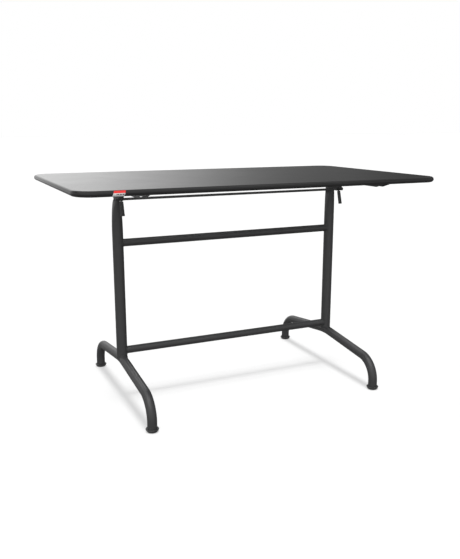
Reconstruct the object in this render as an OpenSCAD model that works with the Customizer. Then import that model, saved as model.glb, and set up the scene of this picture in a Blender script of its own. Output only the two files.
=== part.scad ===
// Flip-top table: a thin rounded top that tilts upright on two T-shaped steel legs.
// +X runs along the top to the right, +Y to the back, +Z up; the floor is z = 0.

/* [Tabletop] */
// Length of the top
top_l = 1200; // [1000:10:1400]
// Depth of the top
top_w = 700; // [650:10:800]
// Height of the top surface above the floor
top_z = 720; // [700:5:760]
// Thickness of the top board
top_t = 17; // [14:1:20]
// Plan radius of the corners of the top
top_corner_r = 60; // [30:1:80]

/* [Legs] */
// Distance between the two column axes
column_gap = 794; // [600:2:900]
// Outer diameter of the columns
column_d = 35; // [32:1:38]
// Height where the round column starts to flatten
pinch_z = 550; // [540:5:570]
// Outer diameter of the foot tubes
foot_d = 30; // [28:1:32]
// Distance from the column to the upright end of a foot tube
foot_reach = 306; // [260:1:330]
// Downward slope of the foot tubes away from the column, degrees
foot_slope = 6.75; // [4:0.25:9]
// Bend radius of the foot tubes on the centreline
foot_bend_r = 75; // [60:1:90]
// Height of the foot tube centreline where its two slopes would meet
foot_apex_z = 130.4; // [120:0.2:140]
// Wall of all the steel tubes
tube_wall = 2; // [1.5:0.5:3]

/* [Rails] */
// Outer diameter of the cross rails
rail_d = 25; // [22:1:28]
// Height of the upper rail
upper_rail_z = 518; // [400:1:530]
// Height of the lower rail
lower_rail_z = 157; // [157:1:300]

/* [Tilting head] */
// Distance of the pivot behind the column axis
pivot_y = 6; // [4:0.5:8]
// Height of the pivot above the floor
pivot_z = 672; // [671:0.5:673]
// Distance of the release rod in front of the column axis
rod_y = 55; // [54.5:0.5:56]
// Height of the release rod
rod_z = 663.5; // [663:0.5:664]
// Diameter of the release rod
rod_d = 8; // [7:0.5:8]
// Lean of the release levers towards the front, degrees
lever_lean = 15.5; // [6:0.5:18]

/* [Levelling glides] */
// Diameter of the glide pads
glide_d = 40; // [36:1:44]
// Height of the glide pads
glide_h = 10; // [9:1:12]

/* [Hidden] */
$fn = 64;
STEEL_BLACK = [0.16, 0.16, 0.17];
TOP_BLACK = [0.12, 0.12, 0.13];
PLASTIC_BLACK = [0.09, 0.09, 0.09];
BRIGHT_STEEL = [0.70, 0.71, 0.73];
NYLON = [0.85, 0.84, 0.80];

// The tubes
column_x = column_gap / 2;
column_r = column_d / 2;
rail_r = rail_d / 2;
foot_r = foot_d / 2;
foot_apex_r = 300;
apex_tangent_y = foot_apex_r * sin(foot_slope);
apex_arc_z = foot_apex_z - apex_tangent_y * tan(foot_slope) - foot_apex_r * cos(foot_slope);
bend_y = foot_reach - foot_bend_r;
bend_start_y = bend_y + foot_bend_r * sin(foot_slope);
bend_start_z = foot_apex_z - bend_start_y * tan(foot_slope);
bend_z = bend_start_z - foot_bend_r * cos(foot_slope);

column_foot_z = foot_apex_z + 2;
seam = 0.1;
crown_lap = 0.2;
bend_lap = 0.75;

// The flattened head of each column
sheet = 3;
tab_t = 5;
tab_z = 656;
tab_half_y = 25;
tab_root_z = tab_z - 0.5;
pinch_inset = 0.05;
tab_front_r = 32;
tab_rear_r = 24.7;
toe_z = 660;
pad_t = 2;
stop_gap = 0.3;
pivot_d = 8;
running = 0.05;

// The brackets and arms under the top
top_under = top_z - top_t;
arm_w = 28;
arm_out = 5;
arm_x = column_x + arm_out;
arm_web_z = top_under - sheet;
arm_flange_z = top_under - 13;
arm_reach = 285;
arm_tip = 318;
bracket_web_z = arm_web_z - sheet;
bracket_w = 11.5;
bracket_gap = 5.6;
bracket_front = 68;
bracket_low = 657.5;
cheek_rear_r = pivot_z - bracket_low;
arm_screw_y = [-262, -120, 120, 262];
screw_r = 2.5;
pilot_depth = 11;

// The latch
hook_t = 5;
hub_r = 6;
nose_y = -25.9;
ear_y = 8;
spring_z = 670.5;
spring_r = 2.1;
spring_wire = 0.8;
spring_turns = 7;
lever_w = 13;
lever_t = 4.5;
lever_top = 7.4;
lever_l = 45.6;
shank_in = 14;
rod_out = 9;
cap_t = 8.5;
cap_cone = 2.5;
cap_gap = 0.5;

// The glides
socket_h = 17;
stud_r = 5;
stud_l = 34;
plug_z = glide_h;

// ---- placing helpers ----

// Puts a left-hand or right-hand piece on its column; local +X points outwards
module on_column(right) {
    if (right) translate([column_x, 0, 0]) children();
    else mirror([1, 0, 0]) translate([column_x, 0, 0]) children();
}

// Extrudes a side outline, drawn as [y, z], to a plate centred on local x = 0
module side_plate(t) {
    rotate([90, 0, 90]) translate([0, 0, -t / 2]) linear_extrude(t) children();
}

// A round bar along X, centred on local x = 0
module bar_x(r, l, y, z) {
    translate([-l / 2, y, z]) rotate([0, 90, 0]) cylinder(r = r, h = l);
}

// ---- tabletop ----

// Everything within r of the rounded plan outline, as the swept round edge
module edge_roll(r) {
    x = top_l / 2 - top_corner_r;
    y = top_w / 2 - top_corner_r;
    for (sx = [0, 1], sy = [0, 1])
        mirror([sx, 0, 0]) mirror([0, sy, 0]) translate([x, y, 0])
            rotate_extrude(angle = 90) translate([top_corner_r - r, 0]) half_disc(r);
    for (sy = [0, 1])
        mirror([0, sy, 0]) translate([-x, top_w / 2 - r, 0]) rotate([0, 90, 0])
            rotate([0, 0, 90]) linear_extrude(2 * x) half_disc(r);
    for (sx = [0, 1])
        mirror([sx, 0, 0]) translate([top_l / 2 - r, y, 0]) rotate([90, 0, 0])
            linear_extrude(2 * y) half_disc(r);
}

// The outer half of a disc
module half_disc(r) {
    intersection() {
        circle(r);
        translate([0, -r]) square([r, 2 * r]);
    }
}

// The plan outline of the top, drawn in by the given distance
module top_plan(inset) {
    x = top_l / 2 - top_corner_r;
    y = top_w / 2 - top_corner_r;
    square([2 * x, top_w - 2 * inset], center = true);
    square([top_l - 2 * inset, 2 * y], center = true);
    for (sx = [-1, 1], sy = [-1, 1])
        translate([sx * x, sy * y]) circle(top_corner_r - inset);
}

module tabletop() {
    r = top_t / 2;
    color(TOP_BLACK) difference() {
        translate([0, 0, top_under + r]) union() {
            translate([0, 0, -r]) linear_extrude(top_t) top_plan(r);
            edge_roll(r);
        }
        for (sx = [-1, 1], y = arm_screw_y)
            translate([sx * arm_x, y, top_under - 1])
                cylinder(r = screw_r + running, h = pilot_depth + 1);
    }
}

// A thin plain sticker with slanted ends that wraps the round front edge
module edge_label() {
    r = top_t / 2;
    label_t = 0.3;
    label_w = 32;
    label_x = -483;
    slant = 3;
    color("firebrick") intersection() {
        translate([label_x - label_w, -top_w / 2 + r, top_under + r])
            rotate([90, 0, 90]) rotate([0, 0, 120])
                linear_extrude(2 * label_w) difference() {
                    intersection() {
                        circle(r + label_t);
                        polygon([[0, 0], [20, 0], [20, 20], [-10, 17.4]]);
                    }
                    circle(r);
                }
        translate([label_x - label_w / 2, 0, top_under + r]) rotate([90, 0, 0])
            linear_extrude(top_w) polygon([
                [-slant, -top_t / 2], [label_w - slant, -top_t / 2],
                [label_w + slant, top_t / 2], [slant, top_t / 2]]);
    }
}

// ---- steel legs ----

// Half width of the flattening column: an ellipse that ends at the thin tab
function pinch_x(z) =
    tab_t / 2 + (column_r - tab_t / 2) * sqrt(max(0, 1 - pow((z - pinch_z) / (tab_z - pinch_z), 2)));
// Half depth: the tube keeps the length of its wall as it is pressed flat
function pinch_y(x) = x + PI / 2 * (column_r - x);
// Points of one flattened section, less the given wall
function pinch_ring(z, wall) =
    let (a = pinch_x(z) - wall, b = pinch_y(pinch_x(z)) - wall)
    [for (i = [0:PINCH_SIDES - 1])
        let (t = i * 360 / PINCH_SIDES + 180 / PINCH_SIDES, s = sin(t) > 0 ? 1 : -1)
        [a * cos(t), s * (b - a) + a * sin(t), z]];
PINCH_SIDES = 32;
PINCH_STEPS = 12;

// Triangles between neighbouring rings of n points; flip turns the faces over
function ring_skin(last, n, flip) = [for (k = [0:last - 1], i = [0:n - 1], half = [0, 1])
    let (a = k * n + i, b = k * n + (i + 1) % n, c = a + n, d = b + n)
    let (f = half == 0 ? [a, c, d] : [a, d, b])
    flip ? [f[2], f[1], f[0]] : f];

// A stack of sections; each ring sits at equal turns of the ellipse
module pinch_body(wall, last) {
    rings = [for (k = [0:last])
        pinch_ring(pinch_z + (tab_z - pinch_z) * sin(90 * k / PINCH_STEPS), wall)];
    n = PINCH_SIDES;
    points = [for (ring = rings, p = ring) p];
    floor_face = [[for (i = [0:n - 1]) i]];
    roof_face = [[for (i = [n - 1:-1:0]) last * n + i]];
    polyhedron(points, concat(ring_skin(last, n, false), floor_face, roof_face), convexity = 4);
}

// Side outline of the tab that carries the pivot, the stop and the latch notch
module tab_outline() {
    intersection() {
        translate([-tab_half_y, tab_root_z])
            square([2 * tab_half_y, bracket_web_z - pad_t - stop_gap - tab_root_z]);
        union() {
            translate([pivot_y, pivot_z]) circle(tab_rear_r);
            intersection() {
                translate([pivot_y, pivot_z]) circle(tab_front_r);
                translate([-60, 600]) square([60 + pivot_y, 120]);
            }
            translate([-tab_half_y, tab_root_z]) square([2 * tab_half_y, toe_z - tab_root_z]);
        }
    }
}

module column() {
    color(STEEL_BLACK) difference() {
        union() {
            translate([0, 0, column_foot_z]) cylinder(r = column_r, h = pinch_z - column_foot_z);
            pinch_body(pinch_inset, PINCH_STEPS);
            side_plate(tab_t) tab_outline();
        }
        translate([0, 0, column_foot_z - 1])
            cylinder(r = column_r - tube_wall, h = pinch_z - column_foot_z + 1);
        pinch_body(tube_wall + 2 * pinch_inset, PINCH_STEPS - 1);
        bar_x(pivot_d / 2 + running, 20, pivot_y, pivot_z);
        foot_crown() circle(foot_r - seam, $fn = 48);
    }
}

// The wall of a foot tube in section; shy draws it a hair thinner on both sides
module foot_section(shy) {
    difference() {
        circle(foot_r - shy, $fn = 48);
        circle(foot_r - tube_wall + shy, $fn = 48);
    }
}

// Sweeps a section round the crown of a foot tube, under the column
module foot_crown() {
    translate([0, 0, apex_arc_z]) rotate([90, 0, 90]) rotate([0, 0, 90 - foot_slope - crown_lap])
        rotate_extrude(angle = 2 * (foot_slope + crown_lap), $fn = 360)
            translate([foot_apex_r, 0]) children();
}

// One tube bent three times; each bend runs a little way into the wall of the straights
module foot_tube() {
    slope_l = (bend_start_y - apex_tangent_y) / cos(foot_slope);
    color(STEEL_BLACK) {
        foot_crown() foot_section(seam);
        for (back = [0, 1]) mirror([0, back, 0]) {
            translate([0, -bend_start_y, bend_start_z]) rotate([-90 + foot_slope, 0, 0])
                linear_extrude(slope_l) foot_section(0);
            translate([0, -bend_y, bend_z]) rotate([90, 0, -90]) rotate([0, 0, -bend_lap])
                rotate_extrude(angle = 90 - foot_slope + 2 * bend_lap, $fn = 96)
                    translate([foot_bend_r, 0]) foot_section(seam);
            translate([0, -foot_reach, plug_z]) linear_extrude(bend_z - plug_z) foot_section(0);
        }
    }
}

// A rail between the columns, with its ends cut to fit round them
module rail(z) {
    color(STEEL_BLACK) difference() {
        bar_x(rail_r, column_gap, 0, z);
        bar_x(rail_r - tube_wall, column_gap + 2, 0, z);
        for (sx = [-1, 1]) translate([sx * column_x, 0, z - 50]) cylinder(r = column_r, h = 100);
    }
}
module upper_rail() { rail(upper_rail_z); }
module lower_rail() { rail(lower_rail_z); }

// ---- tilting head ----

// A channel under the top, open downwards, with slanted ends
module support_arm() {
    color(STEEL_BLACK) translate([arm_out, 0, 0]) difference() {
        side_plate(arm_w) polygon([
            [-arm_tip, top_under], [-arm_tip, arm_web_z + 1], [-arm_reach, arm_flange_z],
            [arm_reach, arm_flange_z], [arm_tip, arm_web_z + 1], [arm_tip, top_under]]);
        translate([sheet - arm_w / 2, -arm_tip - 1, arm_flange_z - 1])
            cube([arm_w - 2 * sheet, 2 * arm_tip + 2, arm_web_z - arm_flange_z + 1]);
        for (y = arm_screw_y) translate([0, y, arm_web_z - 1])
            cylinder(r = screw_r + running, h = sheet + 2);
    }
}

// Pan-head screws that hold an arm to the top
module arm_screws() {
    head_h = 2.6;
    color(BRIGHT_STEEL) for (y = arm_screw_y) translate([arm_out, y, arm_web_z]) difference() {
        union() {
            cylinder(r = screw_r, h = sheet + pilot_depth - 1);
            translate([0, 0, -head_h]) cylinder(r1 = 4.2, r2 = 5, h = head_h);
        }
        for (a = [0, 90]) rotate([0, 0, a])
            translate([-2.6, -0.6, -head_h - 1]) cube([5.2, 1.2, 2.4]);
    }
}

// Side outline of a bracket cheek, round at the pivot and at its low front corner
module cheek_outline() {
    corner = 16;
    difference() {
        union() {
            translate([corner - bracket_front, bracket_low + corner]) circle(corner);
            translate([pivot_y, pivot_z]) circle(cheek_rear_r);
            translate([corner - bracket_front, bracket_low])
                square([bracket_front - corner + pivot_y, arm_web_z - bracket_low]);
            translate([-bracket_front, bracket_low + corner])
                square([corner + 1, arm_web_z - bracket_low - corner]);
            translate([0, pivot_z]) square([pivot_y + cheek_rear_r, arm_web_z - pivot_z]);
        }
        translate([pivot_y, pivot_z]) circle(pivot_d / 2 + running);
        translate([-rod_y, rod_z]) circle(rod_d / 2 + running);
    }
}

// A folded U-bracket, welded into the arm, whose cheeks hold the pivot and the rod
module hinge_bracket() {
    color(STEEL_BLACK) difference() {
        side_plate(bracket_w) cheek_outline();
        translate([-bracket_gap / 2, -bracket_front - 1, bracket_low - 1])
            cube([bracket_gap, 200, bracket_web_z - bracket_low + 1]);
    }
}

// Low-headed bolt through the bracket and the tab
module pivot_bolt() {
    shank = bracket_w + 11;
    color(BRIGHT_STEEL) difference() {
        union() {
            translate([-shank + bracket_w / 2 + 1.2, pivot_y, pivot_z])
                rotate([0, 90, 0]) cylinder(r = pivot_d / 2, h = shank);
            translate([bracket_w / 2 + 1.2, pivot_y, pivot_z])
                rotate([0, 90, 0]) cylinder(r1 = 7, r2 = 5.5, h = 3);
        }
        translate([bracket_w / 2 + 2.4, pivot_y, pivot_z])
            rotate([0, 90, 0]) cylinder(r = 2.9, h = 3, $fn = 6);
    }
}

// Lock nut on the inner side
module pivot_nut() {
    color(BRIGHT_STEEL) translate([-bracket_w / 2 - 1.2, pivot_y, pivot_z]) rotate([0, -90, 0])
        difference() {
            union() {
                cylinder(r = 7.5, h = 5.5, $fn = 6);
                translate([0, 0, 5.5]) cylinder(r = 6, h = 2);
            }
            translate([0, 0, -1]) cylinder(r = pivot_d / 2, h = 10);
        }
}

// Nylon washers under the bolt head and under the nut
module pivot_washers() {
    color(NYLON) for (s = [0, 1]) mirror([s, 0, 0])
        translate([bracket_w / 2 + 0.15, pivot_y, pivot_z]) rotate([0, 90, 0]) difference() {
            cylinder(r = 8, h = 1);
            translate([0, 0, -1]) cylinder(r = pivot_d / 2, h = 3);
        }
}

// Nylon pad on top of the tab that the closed top rests on
module stop_pad() {
    color(NYLON) translate([-tab_t / 2, -11, bracket_web_z - stop_gap - pad_t])
        cube([tab_t, 11 + pivot_y, pad_t]);
}

// ---- release ----

// Rod from one head to the other, past both brackets
module release_rod() {
    color(STEEL_BLACK) bar_x(rod_d / 2, column_gap + bracket_w + 2 * rod_out, -rod_y, rod_z);
}

// Push-on caps on the two ends of the rod
module rod_caps() {
    color(PLASTIC_BLACK) for (right = [false, true]) on_column(right)
        translate([bracket_w / 2 + cap_gap, -rod_y, rod_z]) rotate([0, 90, 0]) difference() {
            union() {
                cylinder(r = 5.5, h = cap_t);
                translate([0, 0, cap_t]) cylinder(r1 = 5.5, r2 = 4.2, h = cap_cone);
            }
            translate([0, 0, -1]) cylinder(r = rod_d / 2, h = rod_out - cap_gap + 1);
        }
}

// The plate on the rod between the cheeks: latch nose, spring ear and lever shank
module latch_hook() {
    ear_end = 11;
    color(STEEL_BLACK) side_plate(hook_t) difference() {
        union() {
            translate([-rod_y, rod_z]) circle(hub_r);
            translate([-rod_y, rod_z - 2.5]) square([rod_y + nose_y, 5]);
            translate([-rod_y - ear_end, spring_z - 4]) square([ear_end, 4]);
            translate([-rod_y, rod_z]) rotate(-lever_lean)
                translate([-2, -lever_top - shank_in]) square([4, lever_top + shank_in]);
        }
        translate([-rod_y, rod_z]) circle(rod_d / 2);
    }
}

// The flat finger lever that is pressed over the shank of the hook
module lever_grip() {
    end_r = lever_t / 2;
    color(PLASTIC_BLACK) translate([0, -rod_y, rod_z]) rotate([-lever_lean, 0, 0]) difference() {
        translate([0, 0, -lever_top - lever_l]) linear_extrude(lever_l) {
            for (s = [-1, 1])
                translate([s * (lever_w / 2 - end_r), 0]) circle(end_r);
            square([lever_w - 2 * end_r, lever_t], center = true);
        }
        translate([-hook_t / 2, -2, -lever_top - shank_in]) cube([hook_t, 4, shank_in + 1]);
    }
}

// Small coil that pushes the ear down and so swings the nose back into the notch
module return_spring() {
    spring_l = bracket_web_z - spring_z;
    coil_l = spring_l - spring_wire;
    steps = 14;
    n = spring_turns * steps;
    sides = 6;
    rings = [for (k = [0:n])
        let (t = k * 360 / steps, z = spring_z + spring_wire / 2 + coil_l * k / n)
        [for (i = [0:sides - 1])
            let (q = i * 360 / sides, r = spring_r + spring_wire / 2 * cos(q))
            [r * cos(t), r * sin(t) - rod_y - ear_y, z + spring_wire / 2 * sin(q)]]];
    points = [for (ring = rings, p = ring) p];
    start = [[for (i = [sides - 1:-1:0]) i]];
    end = [[for (i = [0:sides - 1]) n * sides + i]];
    color(BRIGHT_STEEL)
        polyhedron(points, concat(ring_skin(n, sides, true), start, end), convexity = 12);
}

// ---- levelling glides ----

// Places a foot piece at one of the four tube ends
module at_foot(right, back) {
    translate([(right ? 1 : -1) * column_x, (back ? 1 : -1) * foot_reach, 0]) children();
}

// Plug pressed into the tube end, threaded for the glide
module tube_insert() {
    color(PLASTIC_BLACK) translate([0, 0, plug_z]) difference() {
        cylinder(r = foot_r - tube_wall, h = socket_h);
        translate([0, 0, -1]) cylinder(r = stud_r + running, h = socket_h + 2);
    }
}

// Flared pad that stands on the floor
module glide_pad() {
    color(PLASTIC_BLACK) difference() {
        union() {
            cylinder(r1 = glide_d / 2 - 4, r2 = glide_d / 2 - 1, h = 3);
            translate([0, 0, 3]) cylinder(r1 = glide_d / 2 - 1, r2 = glide_d / 2, h = 1.5);
            translate([0, 0, 4.5]) cylinder(r = glide_d / 2, h = 2);
            translate([0, 0, 6.5]) cylinder(r1 = glide_d / 2, r2 = foot_r + 1, h = glide_h - 6.8);
        }
        translate([0, 0, 3]) cylinder(r = stud_r, h = glide_h);
    }
}

// Threaded stud moulded into the pad
module glide_stud() {
    color(BRIGHT_STEEL) translate([0, 0, 3]) cylinder(r = stud_r, h = stud_l - 3);
}

// ---- the nodes ----

tabletop();
edge_label();
on_column(false) column();  // column_left
on_column(true) column();  // column_right
on_column(false) foot_tube();  // foot_tube_left
on_column(true) foot_tube();  // foot_tube_right
upper_rail();
lower_rail();
on_column(false) support_arm();  // support_arm_left
on_column(true) support_arm();  // support_arm_right
on_column(false) arm_screws();  // arm_screws_left
on_column(true) arm_screws();  // arm_screws_right
on_column(false) hinge_bracket();  // hinge_bracket_left
on_column(true) hinge_bracket();  // hinge_bracket_right
on_column(false) pivot_bolt();  // pivot_bolt_left
on_column(true) pivot_bolt();  // pivot_bolt_right
on_column(false) pivot_nut();  // pivot_nut_left
on_column(true) pivot_nut();  // pivot_nut_right
on_column(false) pivot_washers();  // pivot_washers_left
on_column(true) pivot_washers();  // pivot_washers_right
on_column(false) stop_pad();  // stop_pad_left
on_column(true) stop_pad();  // stop_pad_right
release_rod();
rod_caps();
on_column(false) latch_hook();  // latch_hook_left
on_column(true) latch_hook();  // latch_hook_right
on_column(false) lever_grip();  // lever_grip_left
on_column(true) lever_grip();  // lever_grip_right
on_column(false) return_spring();  // return_spring_left
on_column(true) return_spring();  // return_spring_right
at_foot(false, false) tube_insert();  // tube_insert_left_front
at_foot(false, true) tube_insert();  // tube_insert_left_back
at_foot(true, false) tube_insert();  // tube_insert_right_front
at_foot(true, true) tube_insert();  // tube_insert_right_back
at_foot(false, false) glide_pad();  // glide_pad_left_front
at_foot(false, true) glide_pad();  // glide_pad_left_back
at_foot(true, false) glide_pad();  // glide_pad_right_front
at_foot(true, true) glide_pad();  // glide_pad_right_back
at_foot(false, false) glide_stud();  // glide_stud_left_front
at_foot(false, true) glide_stud();  // glide_stud_left_back
at_foot(true, false) glide_stud();  // glide_stud_right_front
at_foot(true, true) glide_stud();  // glide_stud_right_back
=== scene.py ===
"""Flip-top table on two tubular legs: fine meshes and finishes around the CAD frame.

Lengths are metres. +X runs along the top, +Y to the back, +Z up; the floor is z = 0.
"""
import math

import bmesh
import bpy
from mathutils import Matrix, Vector


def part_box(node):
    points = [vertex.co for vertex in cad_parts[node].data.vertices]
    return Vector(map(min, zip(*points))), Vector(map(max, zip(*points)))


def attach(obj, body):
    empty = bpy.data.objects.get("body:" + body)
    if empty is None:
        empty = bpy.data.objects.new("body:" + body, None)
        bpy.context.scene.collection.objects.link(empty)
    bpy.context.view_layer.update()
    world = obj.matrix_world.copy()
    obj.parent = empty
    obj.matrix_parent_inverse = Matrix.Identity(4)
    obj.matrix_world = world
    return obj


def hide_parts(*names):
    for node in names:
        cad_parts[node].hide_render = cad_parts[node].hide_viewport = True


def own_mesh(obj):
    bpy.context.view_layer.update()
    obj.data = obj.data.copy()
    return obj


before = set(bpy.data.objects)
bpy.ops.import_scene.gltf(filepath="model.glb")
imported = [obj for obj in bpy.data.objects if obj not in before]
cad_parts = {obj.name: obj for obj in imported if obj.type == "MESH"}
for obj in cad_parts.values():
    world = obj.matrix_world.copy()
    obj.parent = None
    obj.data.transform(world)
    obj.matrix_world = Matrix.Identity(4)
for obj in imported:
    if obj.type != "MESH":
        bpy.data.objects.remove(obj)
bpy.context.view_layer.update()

MM = 0.001
SIDES = ("left", "right")
ENDS = ("front", "back")

# ---- sizes taken from the frame ----

top_low, top_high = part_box("tabletop")
column_low, column_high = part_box("column_right")
foot_low, foot_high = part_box("foot_tube_right")
rail_low, rail_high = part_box("upper_rail")
low_rail_low, low_rail_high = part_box("lower_rail")
arm_low, arm_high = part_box("support_arm_right")
bracket_low, bracket_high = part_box("hinge_bracket_right")
pad_low, pad_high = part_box("glide_pad_right_front")
rod_low, rod_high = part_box("release_rod")
stop_low, stop_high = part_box("stop_pad_right")
spring_low, spring_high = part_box("return_spring_right")
insert_low, insert_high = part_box("tube_insert_right_front")
stud_low, stud_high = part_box("glide_stud_right_front")
grip_low, grip_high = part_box("lever_grip_right")

TOP_THICK = top_high.z - top_low.z
COLUMN_X = (foot_low.x + foot_high.x) / 2
COLUMN_R = (column_high.x - column_low.x) / 2
FOOT_R = (foot_high.x - foot_low.x) / 2
RAIL_R = (rail_high.z - rail_low.z) / 2
FOOT_REACH = foot_high.y - FOOT_R
UPPER_RAIL_Z = (rail_low.z + rail_high.z) / 2
LOWER_RAIL_Z = (low_rail_low.z + low_rail_high.z) / 2
ROD_Y = (rod_low.y + rod_high.y) / 2
ROD_Z = (rod_low.z + rod_high.z) / 2
ROD_R = (rod_high.z - rod_low.z) / 2
BRACKET_W = bracket_high.x - bracket_low.x
ARM_OUT = (arm_low.x + arm_high.x) / 2 - COLUMN_X

# ---- sizes that the boxes don't give, as in the CAD ----

PIVOT = Vector((0, 6 * MM, 672 * MM))
TOP_CORNER_R = 60 * MM
WALL = 2 * MM
SHEET = 3 * MM
FOOT_SLOPE = math.radians(6.75)
FOOT_BEND_R = 75 * MM
FOOT_CROWN_R = 300 * MM
FOOT_APEX_Z = 130.4 * MM
COLUMN_SIDE_Z = FOOT_APEX_Z + 2 * MM
PINCH_Z = 550 * MM
TAB_Z = 656 * MM
TAB_THICK = 5 * MM
PIVOT_HOLE_R = 4.05 * MM
BRACKET_GAP = 5.6 * MM
LEVER_LEAN = math.radians(15.5)
LEVER_TOP = 7.4 * MM
LEVER_LENGTH = 45.6 * MM
LABEL_SLANT = 3 * MM
ARM_FULL_DEPTH_Y = 285 * MM
ARM_SCREW_Y = (-262 * MM, -120 * MM, 120 * MM, 262 * MM)
SUNK = 0.6 * MM  # how far a tube's end goes into the wall that it is welded to

TURN = 2 * math.pi

# Every finished piece, by the body that it rides on
PIECES = {}


# ---- mesh helpers ----

def arc(centre, radius, start, end, steps):
    """Points of an arc in the plane, angles in degrees."""
    angles = [math.radians(start + (end - start) * i / steps) for i in range(steps + 1)]
    return [(centre[0] + radius * math.cos(a), centre[1] + radius * math.sin(a)) for a in angles]


def rounded(points, radius, steps=4):
    """An open outline with its inner corners rounded; radius is one number or one for each corner."""
    radii = radius if isinstance(radius, (list, tuple)) else [radius] * (len(points) - 2)
    out = [Vector(points[0])]
    for i, r in enumerate(radii, start=1):
        before, corner, after = (Vector(points[j]) for j in (i - 1, i, i + 1))
        into, away = (before - corner).normalized(), (after - corner).normalized()
        half = into.angle(away) / 2
        reach = min(r / math.tan(half), 0.49 * (before - corner).length, 0.49 * (after - corner).length)
        start, end = corner + into * reach, corner + away * reach
        for k in range(steps + 1):
            t = k / steps
            out.append((1 - t) ** 2 * start + 2 * t * (1 - t) * corner + t * t * end)
    out.append(Vector(points[-1]))
    return [tuple(p) for p in out]


def loft(rings, caps=(True, True), loop=False):
    """Quads between rings of equally many points, closed with end faces or into a loop."""
    n = len(rings[0])
    verts = [tuple(p) for ring in rings for p in ring]
    faces = []
    for k in range(len(rings) if loop else len(rings) - 1):
        a, b = k * n, (k + 1) % len(rings) * n
        faces += [(a + i, a + (i + 1) % n, b + (i + 1) % n, b + i) for i in range(n)]
    if not loop:
        if caps[0]:
            faces.append(tuple(reversed(range(n))))
        if caps[1]:
            faces.append(tuple(range((len(rings) - 1) * n, len(rings) * n)))
    return verts, faces


def turned_ring(z, sides, radius):
    """A ring about Z at height z; radius(angle) gives its distance from the axis."""
    angles = [TURN * i / sides for i in range(sides)]
    return [(radius(a) * math.cos(a), radius(a) * math.sin(a), z) for a in angles]


def round_ring(r, z, sides):
    """A round ring about Z at height z."""
    return turned_ring(z, sides, lambda a: r)


def lathe(profile, sides):
    """A solid turned about Z from (radius, z) points."""
    return loft([round_ring(r, z, sides) for r, z in profile])


def hexagon(a, flat):
    """Radius of a hexagon at angle a, for the given distance from its middle to a flat."""
    return flat / math.cos((a % (TURN / 6)) - TURN / 12)


def sweep(path, radius, sides=24, loop=False, caps=(True, True)):
    """A round tube along points, with its rings square to the path."""
    points = [Vector(p) for p in path]
    n = len(points)
    rings, side = [], None
    for i, p in enumerate(points):
        before = points[(i - 1) % n] if loop or i else p
        after = points[(i + 1) % n] if loop or i < n - 1 else p
        along = (after - before).normalized()
        if side is None:
            side = along.orthogonal().normalized()
        side = (side - along * side.dot(along)).normalized()
        up = along.cross(side)
        rings.append([p + radius * (math.cos(TURN * k / sides) * side + math.sin(TURN * k / sides) * up)
                      for k in range(sides)])
    return loft(rings, caps, loop)


def plate(outline, holes, thick, bevel):
    """A flat plate from a closed outline with holes, drawn in X and Y and centred on Z, with soft edges."""
    curve = bpy.data.curves.new("plate", "CURVE")
    curve.dimensions = "2D"
    curve.fill_mode = "BOTH"
    curve.extrude = thick / 2 - bevel
    curve.bevel_depth = bevel
    curve.bevel_resolution = 2
    curve.offset = -bevel
    for points in [outline] + holes:
        spline = curve.splines.new("POLY")
        spline.points.add(len(points) - 1)
        for knot, (x, y) in zip(spline.points, points):
            knot.co = (x, y, 0, 1)
        spline.use_cyclic_u = True
    holder = bpy.data.objects.new("plate", curve)
    bpy.context.scene.collection.objects.link(holder)
    mesh = bpy.data.meshes.new_from_object(holder.evaluated_get(bpy.context.evaluated_depsgraph_get()))
    work = bmesh.new()
    work.from_mesh(mesh)
    bmesh.ops.remove_doubles(work, verts=work.verts, dist=1e-6)
    bmesh.ops.recalc_face_normals(work, faces=work.faces)
    work.verts.index_update()
    verts = [tuple(v.co) for v in work.verts]
    faces = [tuple(v.index for v in f.verts) for f in work.faces]
    work.free()
    bpy.data.objects.remove(holder)
    bpy.data.curves.remove(curve)
    bpy.data.meshes.remove(mesh)
    return verts, faces


def box(low, high, bevel):
    """A box between two corners, with soft edges all round."""
    size = Vector(high) - Vector(low)
    middle = (Vector(high) + Vector(low)) / 2
    work = bmesh.new()
    bmesh.ops.create_cube(work, size=1)
    bmesh.ops.scale(work, vec=size, verts=work.verts)
    bmesh.ops.bevel(work, geom=work.edges[:], offset=bevel, segments=3, profile=0.6, affect="EDGES")
    bmesh.ops.translate(work, vec=middle, verts=work.verts)
    work.verts.index_update()
    verts = [tuple(v.co) for v in work.verts]
    faces = [tuple(v.index for v in f.verts) for f in work.faces]
    work.free()
    return verts, faces


def placed(part, matrix):
    """The part moved by a matrix."""
    verts, faces = part
    if matrix.determinant() < 0:
        faces = [tuple(reversed(f)) for f in faces]
    return [tuple(matrix @ Vector(v)) for v in verts], faces


def shift(x, y, z):
    """The matrix of a move."""
    return Matrix.Translation((x, y, z))


def turn(degrees, axis):
    """The matrix of a turn about an axis through the origin."""
    return Matrix.Rotation(math.radians(degrees), 4, axis)


# Takes a plate drawn as (y, z) into the YZ plane, with its thickness along X
STAND = Matrix(((0, 0, 1, 0), (1, 0, 0, 0), (0, 1, 0, 0), (0, 0, 0, 1)))
# Takes a turned part's axis from Z to +X
ALONG_X = turn(90, "Y")


def on_column(side):
    """The matrix that puts a piece, drawn for local +X outwards, on its column."""
    place = shift(COLUMN_X, 0, 0)
    return place if side == "right" else Matrix.Scale(-1, 4, (1, 0, 0)) @ place


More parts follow.
